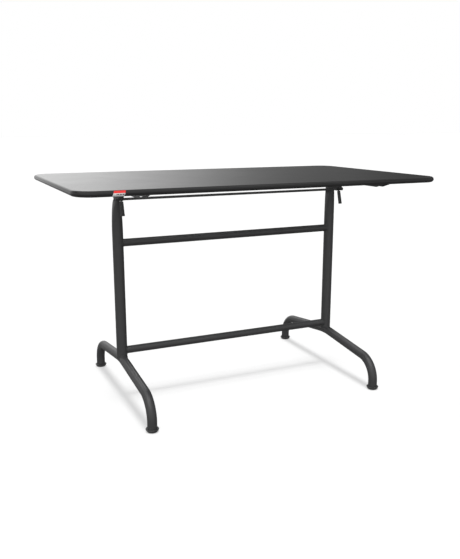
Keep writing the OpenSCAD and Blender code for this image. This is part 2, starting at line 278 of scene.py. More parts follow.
def piece(name, parts, material, body, replaced=(), crease=40):
    """One object from parts, shaded smooth but for its creases, riding on a body."""
    mesh = bpy.data.meshes.new(name)
    verts, faces = [], []
    for part_verts, part_faces in parts:
        base = len(verts)
        verts += part_verts
        faces += [tuple(base + i for i in f) for f in part_faces]
    mesh.from_pydata(verts, [], faces)
    mesh.validate()
    work = bmesh.new()
    work.from_mesh(mesh)
    bmesh.ops.recalc_face_normals(work, faces=work.faces)
    work.to_mesh(mesh)
    work.free()
    mesh.shade_smooth()
    mesh.set_sharp_from_angle(angle=math.radians(crease))
    thing = bpy.data.objects.new(name, mesh)
    bpy.context.scene.collection.objects.link(thing)
    mesh.materials.append(MATERIALS[material])
    if replaced:
        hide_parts(*replaced)
    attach(thing, body)
    PIECES.setdefault(body, []).append(thing)
    return thing


# ---- materials ----

def shader(name, **sockets):
    """A new material, its node tree's adder, its Principled shader and object coordinates."""
    material = bpy.data.materials.new(name)
    material.use_nodes = True
    tree = material.node_tree
    principled = tree.nodes["Principled BSDF"]
    for socket, value in sockets.items():
        principled.inputs[socket.replace("_", " ")].default_value = value
    place = tree.nodes.new("ShaderNodeTexCoord")
    return material, tree, principled, place.outputs["Object"]


def noise(tree, place, scale, detail=4.0, stretch=(1, 1, 1)):
    """A noise value over the object, at so many cells to the metre."""
    mapping = tree.nodes.new("ShaderNodeMapping")
    mapping.inputs["Scale"].default_value = stretch
    tree.links.new(place, mapping.inputs["Vector"])
    texture = tree.nodes.new("ShaderNodeTexNoise")
    texture.inputs["Scale"].default_value = scale
    texture.inputs["Detail"].default_value = detail
    tree.links.new(mapping.outputs["Vector"], texture.inputs["Vector"])
    return texture.outputs["Fac"]


def spread(tree, value, low, high):
    """Maps the middle of a noise value to a range of numbers."""
    node = tree.nodes.new("ShaderNodeMapRange")
    node.inputs["From Min"].default_value = 0.3
    node.inputs["From Max"].default_value = 0.7
    node.inputs["To Min"].default_value = low
    node.inputs["To Max"].default_value = high
    tree.links.new(value, node.inputs["Value"])
    return node.outputs["Result"]


def tint(tree, value, dark, light):
    """Maps the middle of a noise value to a blend of two colours."""
    ramp = tree.nodes.new("ShaderNodeValToRGB")
    ramp.color_ramp.elements[0].position = 0.3
    ramp.color_ramp.elements[0].color = (*dark, 1)
    ramp.color_ramp.elements[1].position = 0.7
    ramp.color_ramp.elements[1].color = (*light, 1)
    tree.links.new(value, ramp.inputs["Fac"])
    return ramp.outputs["Color"]


def bump(tree, value, height, shader_node, strength=1.0):
    """Adds fine relief of the given height to a shader."""
    node = tree.nodes.new("ShaderNodeBump")
    node.inputs["Strength"].default_value = strength
    node.inputs["Distance"].default_value = height
    tree.links.new(value, node.inputs["Height"])
    previous = shader_node.inputs["Normal"]
    if previous.is_linked:
        tree.links.new(previous.links[0].from_socket, node.inputs["Normal"])
    tree.links.new(node.outputs["Normal"], previous)


def finish_of(name, dark, light, rough, grain, relief, metal=0.0, stretch=(1, 1, 1), **sockets):
    """A finish with mottled colour, uneven gloss and fine relief at one grain size."""
    material, tree, principled, place = shader(name, Metallic=metal, **sockets)
    broad = noise(tree, place, 9.0, 5.0)
    fine = noise(tree, place, 1 / grain, 3.0, stretch)
    tree.links.new(tint(tree, broad, dark, light), principled.inputs["Base Color"])
    tree.links.new(spread(tree, broad, *rough), principled.inputs["Roughness"])
    bump(tree, fine, relief, principled, 0.6)
    return material


def compare(tree, value, operation, limit):
    """1 where the value passes the limit, 0 elsewhere."""
    node = tree.nodes.new("ShaderNodeMath")
    node.operation = operation
    node.inputs[1].default_value = limit
    tree.links.new(value, node.inputs[0])
    return node.outputs["Value"]


def multiply(tree, first, *others):
    """The product of several values."""
    for other in others:
        node = tree.nodes.new("ShaderNodeMath")
        node.operation = "MULTIPLY"
        tree.links.new(first, node.inputs[0])
        tree.links.new(other, node.inputs[1])
        first = node.outputs["Value"]
    return first


def blend(tree, factor, below, above):
    """One colour where the factor is 0, another where it is 1."""
    node = tree.nodes.new("ShaderNodeMix")
    node.data_type = "RGBA"
    tree.links.new(factor, node.inputs["Factor"])
    tree.links.new(below, node.inputs["A"])
    tree.links.new(above, node.inputs["B"])
    return node.outputs["Result"]


def label_material():
    """A plain sticker: a red band over a white one that carries a row of plain grey blocks."""
    material, tree, principled, place = shader("label_vinyl", Coat_Weight=0.3)
    split = tree.nodes.new("ShaderNodeSeparateXYZ")
    tree.links.new(place, split.inputs["Vector"])
    x, z = split.outputs["X"], split.outputs["Z"]
    speck = noise(tree, place, 900.0)
    white = tint(tree, speck, (0.84, 0.85, 0.84), (0.90, 0.91, 0.90))
    red = tint(tree, speck, (0.88, 0.010, 0.008), (0.94, 0.018, 0.012))
    grey = tint(tree, speck, (0.035, 0.035, 0.035), (0.055, 0.055, 0.055))
    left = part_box("edge_label")[0].x
    row_left, row_right = left + 10 * MM, left + 33 * MM
    row_low, row_high, red_low = (top_low.z + part * TOP_THICK for part in (0.28, 0.46, 0.58))
    pitch = 3.6 * MM
    step = tree.nodes.new("ShaderNodeMath")
    step.operation = "PINGPONG"
    step.inputs[1].default_value = pitch
    tree.links.new(x, step.inputs[0])
    blocks = multiply(tree, compare(tree, step.outputs["Value"], "GREATER_THAN", 0.25 * pitch),
                      compare(tree, z, "GREATER_THAN", row_low),
                      compare(tree, z, "LESS_THAN", row_high),
                      compare(tree, x, "GREATER_THAN", row_left),
                      compare(tree, x, "LESS_THAN", row_right))
    band = compare(tree, z, "GREATER_THAN", red_low)
    printed = blend(tree, blocks, white, grey)
    tree.links.new(blend(tree, band, printed, red), principled.inputs["Base Color"])
    tree.links.new(spread(tree, speck, 0.28, 0.36), principled.inputs["Roughness"])
    return material


MATERIALS = {
    "top_laminate": finish_of("top_laminate", (0.0215, 0.0215, 0.0220), (0.0235, 0.0235, 0.0240),
                              (0.15, 0.17), 0.8 * MM, 0.003 * MM, IOR=1.5),
    "black_steel": finish_of("black_steel", (0.0480, 0.0480, 0.0490), (0.0540, 0.0540, 0.0550),
                             (0.34, 0.42), 0.9 * MM, 0.03 * MM, IOR=1.5),
    "black_plastic": finish_of("black_plastic", (0.0500, 0.0500, 0.0505), (0.0560, 0.0560, 0.0565),
                               (0.38, 0.48), 0.5 * MM, 0.02 * MM, IOR=1.46),
    "zinc_steel": finish_of("zinc_steel", (0.50, 0.51, 0.52), (0.60, 0.61, 0.62),
                            (0.26, 0.38), 0.6 * MM, 0.01 * MM, 1.0, (1, 1, 6)),
    "spring_steel": finish_of("spring_steel", (0.36, 0.36, 0.37), (0.46, 0.46, 0.48),
                              (0.22, 0.32), 0.4 * MM, 0.005 * MM, 1.0),
    "nylon": finish_of("nylon", (0.66, 0.64, 0.58), (0.72, 0.70, 0.64),
                       (0.38, 0.46), 0.5 * MM, 0.01 * MM, Subsurface_Weight=0.1),
    "label_vinyl": label_material(),
}


# ---- tabletop ----

def plan_ring(inset, z, corner_steps=16):
    """The rounded plan outline of the top, drawn in by inset, at height z."""
    r = max(TOP_CORNER_R - inset, 1e-5)
    x, y = top_high.x - TOP_CORNER_R, top_high.y - TOP_CORNER_R
    corners = (((x, y), 0), ((-x, y), 90), ((-x, -y), 180), ((x, -y), 270))
    flat = [p for centre, a in corners for p in arc(centre, r, a, a + 90, corner_steps)]
    return [(px, py, z) for px, py in flat]


def make_tabletop():
    """One board with round corners and a full round edge."""
    half = TOP_THICK / 2
    middle_z = top_low.z + half
    edge_steps = 20
    core, rim = TOP_CORNER_R * 0.9, half + 2 * MM
    rings = [plan_ring(core, top_low.z), plan_ring(rim, top_low.z)]
    for k in range(edge_steps + 1):
        a = -math.pi / 2 + math.pi * k / edge_steps
        rings.append(plan_ring(half - half * math.cos(a), middle_z + half * math.sin(a)))
    rings += [plan_ring(rim, top_high.z), plan_ring(core, top_high.z)]
    piece("tabletop_board", [loft(rings)], "top_laminate", "top", ["tabletop"], crease=60)


def label_spans(wide, tall, corner_x, corner_a, rows):
    """Angles up the label, each with half the label's width there, its corners rounded."""
    spans = []
    for k in range(rows + 1):
        v = -math.cos(math.pi * k / rows) * tall
        over = max(0.0, (abs(v) - tall + corner_a) / corner_a)
        spans.append((v, wide - corner_x * (1 - math.sqrt(max(0.0, 1 - over * over)))))
    return spans


def make_label():
    """A film with slanted ends and round corners that wraps the round front edge."""
    low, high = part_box("edge_label")
    half = TOP_THICK / 2
    glue, film, corner = 0.02 * MM, 0.3 * MM, 1.5 * MM
    tall = math.radians(60)
    wide = (high.x - low.x) / 2 - LABEL_SLANT * math.sin(tall)
    middle = Vector(((low.x + high.x) / 2, top_low.y + half, top_low.z + half))
    columns, rows = 12, 20
    verts = []
    for lift in (glue, film):
        for v, reach in label_spans(wide, tall, corner, corner / half, rows):
            y = middle.y - (half + lift) * math.cos(v)
            z = middle.z + (half + lift) * math.sin(v)
            slide = LABEL_SLANT * math.sin(v)
            verts += [(middle.x + slide + reach * (2 * i / columns - 1), y, z) for i in range(columns + 1)]
    wide_n, layer = columns + 1, (columns + 1) * (rows + 1)
    faces = []
    for k in range(rows):
        for i in range(columns):
            a, b = k * wide_n + i, (k + 1) * wide_n + i
            faces += [(a, b, b + 1, a + 1), (a + layer, a + 1 + layer, b + 1 + layer, b + layer)]
    edge = list(range(wide_n))
    edge += [k * wide_n + columns for k in range(1, rows + 1)]
    edge += [rows * wide_n + i for i in range(columns - 1, -1, -1)]
    edge += [k * wide_n for k in range(rows - 1, 0, -1)]
    for a, b in zip(edge, edge[1:] + edge[:1]):
        faces.append((a, b, b + layer, a + layer))
    piece("edge_sticker", [(verts, faces)], "label_vinyl", "top", ["edge_label"])


# ---- legs ----

def bend_centre_z(y, radius):
    """Height of the centre, at depth y, of a bend whose top runs into the foot's straight slope."""
    touch_y = y + radius * math.sin(FOOT_SLOPE)
    return FOOT_APEX_Z - touch_y * math.tan(FOOT_SLOPE) - radius * math.cos(FOOT_SLOPE)


def foot_path():
    """The centreline of a foot tube, as (y, z) from the front end to the back end."""
    crown_z = bend_centre_z(0, FOOT_CROWN_R)
    bend_y = FOOT_REACH - FOOT_BEND_R
    bend_z = bend_centre_z(bend_y, FOOT_BEND_R)
    slope = math.degrees(FOOT_SLOPE)
    half = [(0, crown_z + FOOT_CROWN_R)] + arc((0, crown_z), FOOT_CROWN_R, 90 - slope / 4, 90 - slope, 4)
    straight = 8
    start = Vector(half[-1])
    bend = arc((bend_y, bend_z), FOOT_BEND_R, 90 - slope, 0, 28)
    half += [tuple(start.lerp(Vector(bend[0]), k / straight)) for k in range(1, straight)]
    half += bend + [(FOOT_REACH, foot_low.z + 6 * MM), (FOOT_REACH, foot_low.z)]
    return [(-y, z) for y, z in reversed(half[1:])] + half


def crown_height(y):
    """Height of the foot tube's centreline under the column."""
    return bend_centre_z(0, FOOT_CROWN_R) + math.sqrt(FOOT_CROWN_R ** 2 - y ** 2)


def saddle_height(x, y):
    """Height at which the column's wall at (x, y) lands on the foot tube."""
    over = crown_height(y) + math.sqrt(max(0.0, FOOT_R ** 2 - x ** 2))
    return max(COLUMN_SIDE_Z, over)


def pinch_half(z):
    """Half width and half depth of the flattening column at height z."""
    t = min(1.0, max(0.0, (z - PINCH_Z) / (TAB_Z - PINCH_Z)))
    thin = TAB_THICK / 2
    a = thin + (COLUMN_R - thin) * math.sqrt(max(0.0, 1 - t * t))
    return a, a + math.pi / 2 * (COLUMN_R - a)


def column_ring(z, sides):
    """Section of the column at height z: a circle that is pressed flat towards the tab."""
    a, b = pinch_half(z)
    ring = []
    for i in range(sides):
        t = TURN * (i + 0.5) / sides
        side = math.copysign(1, math.sin(t))
        ring.append(Vector((a * math.cos(t), side * (b - a) + a * math.sin(t), z)))
    return ring


def tab_outline():
    """Side outline of the tab over the flattened tube: round behind, with the latch notch in front."""
    front_r, rear_r, edge, toe = 32 * MM, 24.7 * MM, 25 * MM, 660 * MM
    py, pz = PIVOT.y, PIVOT.z
    top = stop_low.z
    low = TAB_Z - 3 * MM
    rear_top = math.degrees(math.asin((top - pz) / rear_r))
    rear_side = math.degrees(math.acos((edge - py) / rear_r))
    front_top = math.degrees(math.asin((top - pz) / front_r))
    front_side = math.degrees(math.acos((edge + py) / front_r))
    notch = math.degrees(math.asin((pz - toe) / front_r))
    points = [(edge, low)]
    points += arc((py, pz), rear_r, rear_side, rear_top, 10)
    points += arc((py, pz), front_r, 180 - front_top, 180 - front_side, 12)
    points += arc((py, pz), front_r, 180 + front_side, 180 + notch, 6)
    points += [(-edge, toe), (-edge, low)]
    return points


def circle(y, z, r, steps=40):
    """A hole's outline in the side plane."""
    return arc((y, z), r, 0, 360 - 360 / steps, steps - 1)


def make_column(side):
    """A round tube, cut to sit on the foot tube, with its flattened head and the tab on it."""
    sides = 64
    foot = column_ring(COLUMN_SIDE_Z, sides)
    rings = [[Vector((p.x, p.y, saddle_height(p.x, p.y) - SUNK)) for p in foot]]
    steps, low = 12, 160 * MM
    rings += [column_ring(low + (PINCH_Z - low) * k / steps, sides) for k in range(1, steps)]
    bends = 28
    for k in range(bends + 1):
        rings.append(column_ring(PINCH_Z + (TAB_Z - PINCH_Z) * math.sin(math.pi / 2 * k / bends), sides))
    body = loft(rings)
    tab = placed(plate(tab_outline(), [circle(PIVOT.y, PIVOT.z, PIVOT_HOLE_R)], TAB_THICK, 0.6 * MM), STAND)
    place = on_column(side)
    piece(f"column_tube_{side}", [placed(body, place), placed(tab, place)],
          "black_steel", "base", [f"column_{side}"])


def make_foot(side):
    """A bent tube with its bore, closed by a flat ring at each end."""
    sides = 48
    path = [(0, y, z) for y, z in foot_path()]
    outer = sweep(path, FOOT_R, sides, caps=(False, False))
    inner = sweep(path, FOOT_R - WALL, sides, caps=(False, False))
    verts = outer[0] + inner[0]
    count = len(outer[0])
    faces = outer[1] + [tuple(count + i for i in reversed(f)) for f in inner[1]]
    for base, flip in ((0, False), (count - sides, True)):
        for i in range(sides):
            a, b = base + i, base + (i + 1) % sides
            quad = (a, a + count, b + count, b)
            faces.append(tuple(reversed(quad)) if flip else quad)
    piece(f"foot_bent_tube_{side}", [placed((verts, faces), on_column(side))],
          "black_steel", "base", [f"foot_tube_{side}"])


def rail_end(y):
    """Distance from the middle at which a rail's wall at depth y meets the columns."""
    return COLUMN_X - math.sqrt(COLUMN_R ** 2 - y ** 2)


def make_rail(name, z):
    """A round tube between the columns, its ends cut to their walls."""
    ring = [(y, h) for y, h, _ in round_ring(RAIL_R, 0, 48)]
    rings = [[(-rail_end(y) - SUNK, y, z + h) for y, h in ring]]
    rings += [[(x, y, z + h) for y, h in ring] for x in (-200 * MM, 0.0, 200 * MM)]
    rings.append([(rail_end(y) + SUNK, y, z + h) for y, h in ring])
    piece(f"{name}_tube", [loft(rings)], "black_steel", "base", [name])


def ripple(i, count):
    """The size of a weld bead at step i, as its drops overlap."""
    drops, swell = 14, 0.10
    return 1 + swell * math.sin(TURN * drops * i / count)


def bead(points, radius):
    """A closed weld bead along points, thicker at each drop."""
    n, sides = len(points), 10
    verts, faces = sweep(points, radius, sides, loop=True)
    grown = []
    for i, p in enumerate(points):
        for v in verts[i * sides:(i + 1) * sides]:
            grown.append(tuple(Vector(p) + (Vector(v) - Vector(p)) * ripple(i, n)))
    return grown, faces


def make_welds(side):
    """The beads round a column's foot and the ends of both rails."""
    steps, size = 140, 1.3 * MM
    saddle = [(x, y, saddle_height(x, y) - 0.2 * MM) for x, y, _ in round_ring(COLUMN_R, 0, steps)]
    parts = [bead(saddle, size)]
    for z in (UPPER_RAIL_Z, LOWER_RAIL_Z):
        ring = [(rail_end(y) - COLUMN_X, y, z + h) for y, h, _ in round_ring(RAIL_R, 0, steps)]
        parts.append(bead(ring, size))
    place = on_column(side)
    piece(f"welds_{side}", [placed(p, place) for p in parts], "black_steel", "base")


# ---- tilting head ----

def channel_ring(y, web_z, depth):
    """Section of the arm at y: a channel open downwards, with its two folds rounded."""
    half = (arm_high.x - arm_low.x) / 2
    inner = half - SHEET
    top = arm_high.z
    low = top - depth
    outer_bend, inner_bend = 2.6 * MM, 0.8 * MM
    outer = rounded([(half, low), (half, top), (-half, top), (-half, low)], outer_bend, 5)
    inside = rounded([(-inner, low), (-inner, web_z), (inner, web_z), (inner, low)], inner_bend, 5)
    lip = 0.6 * MM
    outline = []
    for points in (outer, inside):
        outline.append((points[0][0], points[0][1] + lip))
        outline += points[1:-1]
        outline.append((points[-1][0], points[-1][1] + lip))
        x0, x1 = (-half, -inner) if points is outer else (inner, half)
        outline += [(x0 + lip, low), (x1 - lip, low)]
    return [(x, y, z) for x, z in outline]


def make_arm(side):
    """A folded channel under the top, shallower towards both ends."""
    web_z = arm_high.z - SHEET
    full = arm_high.z - arm_low.z
    tip = arm_high.y
    half = rounded([(0, full), (ARM_FULL_DEPTH_Y, full), (tip, SHEET + 0.3 * MM)], 7 * MM, 8)
    stations = [(-y, d) for y, d in reversed(half[1:])] + half
    rings = [channel_ring(y, web_z, d) for y, d in stations]
    arm = loft(rings)
    piece(f"arm_channel_{side}", [placed(arm, on_column(side) @ shift(ARM_OUT, 0, 0))],
          "black_steel", "top", [f"support_arm_{side}"])


def screw(head_r, head_h, shank_r, shank_l, socket):
    """A screw along +Z with its head below z = 0 and a hexagon socket in the head."""
    profile = rounded([(shank_r, shank_l), (shank_r, 0), (head_r, 0), (head_r * 0.86, -head_h),
                       (socket * 1.25, -head_h)], [0.1 * MM, 0.4 * MM, 0.8 * MM], 4)
    sides = 36
    rings = [round_ring(r, z, sides) for r, z in profile]
    rings += [turned_ring(z, sides, lambda a: hexagon(a, socket)) for z in (-head_h, -head_h * 0.35)]
    return loft(rings)


def make_arm_screws(side):
    """The four screws that hold an arm to the top."""
    web_z = arm_high.z - SHEET
    fastener = screw(5 * MM, 2.6 * MM, 2.5 * MM, 12 * MM, 1.7 * MM)
    place = on_column(side)
    parts = [placed(fastener, place @ shift(ARM_OUT, y, web_z)) for y in ARM_SCREW_Y]
    piece(f"arm_screw_set_{side}", parts, "zinc_steel", "top", [f"arm_screws_{side}"])


def cheek_outline():
    """Side outline of a cheek: round at the pivot and at its low front corner."""
    corner = 16 * MM
    front, low, top = bracket_low.y, bracket_low.z, bracket_high.z
    rear_r = PIVOT.z - low
    points = arc((front + corner, low + corner), corner, 180, 270, 10)
    points += arc((PIVOT.y, PIVOT.z), rear_r, 270, 360, 14)
    points += [(PIVOT.y + rear_r, top), (front, top)]
    return points


def make_bracket(side):
    """Two cheeks on either side of the tab, joined by a web under the arm."""
    cheek_t = (BRACKET_W - BRACKET_GAP) / 2
    holes = [circle(PIVOT.y, PIVOT.z, PIVOT_HOLE_R), circle(ROD_Y, ROD_Z, ROD_R + 0.05 * MM)]
    cheek = placed(plate(cheek_outline(), holes, cheek_t, 0.5 * MM), STAND)
    middle = BRACKET_GAP / 2 + cheek_t / 2
    parts = [placed(cheek, shift(s * middle, 0, 0)) for s in (-1, 1)]
    web_low = (-BRACKET_GAP / 2 - 0.6 * MM, bracket_low.y + 0.4 * MM, bracket_high.z - SHEET)
    web_high = (BRACKET_GAP / 2 + 0.6 * MM, bracket_high.y - 0.4 * MM, bracket_high.z)
    parts.append(box(web_low, web_high, 0.4 * MM))
    place = on_column(side)
    piece(f"bracket_fold_{side}", [placed(p, place) for p in parts],
          "black_steel", "top", [f"hinge_bracket_{side}"])


def ring_part(profile, sides=48):
    """A turned part with a hole: its closed (radius, z) outline swept round Z."""
    outline = profile[:-1]
    rings = []
    for i in range(sides):
        a = TURN * i / sides
        rings.append([(r * math.cos(a), r * math.sin(a), z) for r, z in outline])
    return loft(rings, loop=True)


def lock_nut():
    """A hexagon with its corners taken off and a round collar for the locking ring, along +Z."""
    flat, corner, corner_cut, sides = 6.5 * MM, 7.6 * MM, 6.9 * MM, 48
    levels = ((0, corner_cut), (0.6 * MM, corner), (5.0 * MM, corner), (5.5 * MM, corner_cut))
    rings = []
    for z, limit in levels:
        rings.append(turned_ring(z, sides, lambda a: min(hexagon(a, flat), limit)))
    collar_r, bore, top = 6 * MM, 4.4 * MM, 7.5 * MM
    collar = rounded([(collar_r, 5.5 * MM), (collar_r, top), (bore, top), (bore, 6.8 * MM)], 0.5 * MM)
    return loft(rings + [round_ring(r, z, sides) for r, z in collar])


def pivot_washer():
    """A flat washer with soft edges, along +Z."""
    bore, r, thick = PIVOT_HOLE_R, 8 * MM, 1 * MM
    outline = [(bore, thick / 2), (bore, 0), (r, 0), (r, thick), (bore, thick), (bore, thick / 2)]
    return ring_part(rounded(outline, 0.2 * MM, 3))


def make_pivot(side):
    """Low-headed bolt, lock nut with its nylon ring, and two washers."""
    outside = BRACKET_W / 2 + 1.2 * MM
    shank = BRACKET_W + 11 * MM
    inwards = turn(-90, "Y")
    place = on_column(side) @ shift(0, PIVOT.y, PIVOT.z)
    bolt = screw(7 * MM, 3 * MM, 4 * MM, shank, 2.6 * MM)
    bolt = placed(bolt, place @ shift(outside, 0, 0) @ inwards)
    piece(f"pivot_bolt_button_{side}", [bolt], "zinc_steel", "base", [f"pivot_bolt_{side}"])
    nut = placed(lock_nut(), place @ shift(-outside, 0, 0) @ inwards)
    piece(f"pivot_lock_nut_{side}", [nut], "zinc_steel", "base", [f"pivot_nut_{side}"])
    washer = pivot_washer()
    near = BRACKET_W / 2 + 0.15 * MM
    parts = [placed(washer, place @ shift(near, 0, 0) @ ALONG_X),
             placed(washer, place @ shift(-near, 0, 0) @ inwards)]
    piece(f"pivot_washer_pair_{side}", parts, "nylon", "base", [f"pivot_washers_{side}"])


def make_stop_pad(side):
    """The nylon cushion on top of the tab."""
    pad = box((-TAB_THICK / 2, stop_low.y, stop_low.z), (TAB_THICK / 2, stop_high.y, stop_high.z), 0.5 * MM)
    piece(f"stop_cushion_{side}", [placed(pad, on_column(side))], "nylon", "base", [f"stop_pad_{side}"])


# ---- release ----

def make_rod():
    """The round bar from head to head."""
    half = (rod_high.x - rod_low.x) / 2
    profile = rounded([(0.4 * MM, -half), (ROD_R, -half), (ROD_R, half), (0.4 * MM, half)], 0.8 * MM, 4)
    rod = placed(lathe(profile, 40), shift(0, ROD_Y, ROD_Z) @ ALONG_X)
    piece("release_bar", [rod], "black_steel", "release", ["release_rod"])


def make_rod_caps():
    """A cap with a rounded outer edge on each end of the rod."""
    low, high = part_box("rod_caps")
    r = (high.z - low.z) / 2
    start, end = BRACKET_W / 2 + 0.5 * MM, high.x - COLUMN_X
    profile = rounded([(ROD_R, start), (r, start), (r, end), (0.3 * MM, end)], [0.5 * MM, 2.6 * MM], 6)
    parts = [placed(lathe(profile, 40), on_column(side) @ shift(0, ROD_Y, ROD_Z) @ ALONG_X)
             for side in SIDES]
    piece("rod_end_caps", parts, "black_plastic", "release", ["rod_caps"])


def make_hook(side):
    """The plate on the rod: nose to the tab, ear under the spring, shank into the lever."""
    low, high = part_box(f"latch_hook_{side}")
    hub, shank_half, shank_root = 6 * MM, 2 * MM, 5.6 * MM
    nose_half = 2.5 * MM
    nose = high.y - ROD_Y
    ear = low.y - ROD_Y
    ear_top = spring_low.z - ROD_Z
    ear_low = ear_top - 4 * MM
    lean = math.degrees(LEVER_LEAN)
    down = turn(-90 - lean, "Z")
    shank = LEVER_TOP + 13.7 * MM
    ends = [down @ Vector((shank, s * shank_half, 0)) for s in (-1, 1)]
    roots = [down @ Vector((shank_root, s * shank_half, 0)) for s in (-1, 1)]
    nose_root = math.sqrt(hub ** 2 - nose_half ** 2)
    outline = [(nose_root, nose_half), (nose, nose_half), (nose, -nose_half), (nose_root, -nose_half)]
    outline += arc((0, 0), hub, -25, -66 - lean, 6)
    outline += [(roots[1].x, roots[1].y), (ends[1].x, ends[1].y), (ends[0].x, ends[0].y),
                (roots[0].x, roots[0].y)]
    outline += arc((0, 0), hub, -114 - lean, -205, 8)
    outline += [(ear, ear_low), (ear, ear_top), (0, ear_top)]
    outline += arc((0, 0), hub, 80, 26, 6)
    flat = [(y + ROD_Y, z + ROD_Z) for y, z in outline]
    hook = placed(plate(flat, [circle(ROD_Y, ROD_Z, ROD_R)], high.x - low.x, 0.4 * MM), STAND)
    piece(f"hook_plate_{side}", [placed(hook, on_column(side))], "black_steel", "release",
          [f"latch_hook_{side}"])


def lever_closing(t):
    """How full the lever is at the fraction t of its length: a rounded tip, a soft top edge."""
    tip, top, top_full = 1.8 * MM / LEVER_LENGTH, 0.02, 0.88
    if t > 1 - tip:
        return math.sqrt(max(0.0, 1 - ((t - 1 + tip) / tip) ** 2))
    if t < top:
        return top_full + (1 - top_full) * math.sqrt(t / top)
    return 1.0


def lever_ring(t, wide, thick, sides=48):
    """Section of the lever at the fraction t of its length: flat sides, a soft rib in front."""
    end = lever_closing(t)
    flare = 0.97 + 0.03 * t + 0.05 * math.exp(-((t - 0.93) / 0.05) ** 2)
    half = wide * flare * (1 - 0.30 * (1 - end))
    rib_w, rib_h = 2.4 * MM, 0.5 * MM * end * min(1.0, 6 * t)
    ring = []
    for i in range(sides):
        a = TURN * i / sides
        c, s = math.cos(a), math.sin(a)
        x = half * math.copysign(abs(c) ** 0.5, c)
        y = thick * end * math.copysign(abs(s) ** 0.6, s)
        rib = math.exp(-(x / rib_w) ** 2) if s < 0 else 0.0
        ring.append((x, y - rib_h * rib, -LEVER_TOP - LEVER_LENGTH * t))
    return ring


def make_lever(side):
    """A moulded finger lever that hangs beside the column head."""
    wide, thick = (grip_high.x - grip_low.x) / 2, 4.5 * MM / 2
    steps = 54
    rings = [lever_ring(1 - (1 - k / steps) ** 1.5, wide, thick) for k in range(steps + 1)]
    lever = placed(loft(rings), shift(0, ROD_Y, ROD_Z) @ Matrix.Rotation(-LEVER_LEAN, 4, "X"))
    piece(f"finger_lever_{side}", [placed(lever, on_column(side))], "black_plastic", "release",
          [f"lever_grip_{side}"])


def make_spring(side):
    """A coil between the hook's ear and the arm."""
    wire, turns, released = 0.4 * MM, 7, 4.2 * MM
    r = (spring_high.y - spring_low.y) / 2 - wire
    low, high = spring_low.z + wire, spring_high.z - wire
    y = (spring_low.y + spring_high.y) / 2
    steps = turns * 28
    path = []
    for k in range(steps + 1):
        t = k / steps
        rise = t - 0.06 * math.sin(TURN * t)
        a = TURN * turns * t
        path.append((r * math.cos(a), y + r * math.sin(a), low + (high - low) * rise))
    coil = placed(sweep(path, wire, 12), on_column(side))
    spring = piece(f"coil_spring_{side}", [coil], "spring_steel", "top", [f"return_spring_{side}"])
    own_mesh(spring)


# ---- levelling glides ----

def glide_cup():
    """A flared round pad: recessed below, rounded at its rim, with a socket for the stud."""
    r, h, axis, socket, floor = (pad_high.x - pad_low.x) / 2, pad_high.z, 0.4 * MM, 5.1 * MM, 3.2 * MM
    corners = [(axis, 0.5 * MM), (r - 9 * MM, 0.5 * MM), (r - 8.4 * MM, 0), (r - 4.6 * MM, 0),
               (r, 7.4 * MM), (r, 9.1 * MM), (r - 1.6 * MM, h), (FOOT_R + 0.6 * MM, h - 0.1 * MM),
               (socket, h - 0.1 * MM), (socket, floor), (axis, floor)]
    radii = [0.2 * MM, 0.3 * MM, 1.2 * MM, 1.6 * MM, 0.8 * MM, 0.8 * MM, 0.3 * MM, 0.4 * MM, 0.2 * MM]
    return lathe(rounded(corners, radii, 4), 72)


def threaded_stud():
    """A stud, plain inside the pad and with thread grooves above it."""
    axis, pitch, groove = 0.3 * MM, 1.5 * MM, 0.75 * MM
    r, low, z = (stud_high.x - stud_low.x) / 2, stud_low.z + 0.2 * MM, pad_high.z
    profile = [(axis, low), (r, low), (r, z)]
    while z < stud_high.z - pitch:
        profile += [(r, z + 0.15 * pitch), (r - groove, z + 0.5 * pitch), (r, z + 0.85 * pitch)]
        z += pitch
    return lathe(profile + [(r - 1 * MM, stud_high.z), (axis, stud_high.z)], 40)


def tube_plug():
    """A bush in the tube's end that takes the stud."""
    r, bore = (insert_high.x - insert_low.x) / 2, 5.05 * MM
    low, high = insert_low.z, insert_high.z
    seam = (bore, (low + high) / 2)
    return ring_part(rounded([seam, (bore, low), (r, low), (r, high), (bore, high), seam], 0.5 * MM, 3))


def make_glide(side, end):
    """A pad and its stud, which move together, and the plug in the tube's end."""
    x = COLUMN_X if side == "right" else -COLUMN_X
    y = -FOOT_REACH if end == "front" else FOOT_REACH
    place = shift(x, y, 0)
    name = f"{side}_{end}"
    body = f"glide_{name}"
    piece(f"glide_cup_{name}", [placed(glide_cup(), place)], "black_plastic", body, [f"glide_pad_{name}"])
    piece(f"threaded_stud_{name}", [placed(threaded_stud(), place)], "zinc_steel", body,
          [f"glide_stud_{name}"])
    piece(f"tube_plug_{name}", [placed(tube_plug(), place)], "black_plastic", "base",
          [f"tube_insert_{name}"])


# ---- floor, light and camera ----

FLOOR_GLOW = 0.54
FLOOR_GREY = 0.08


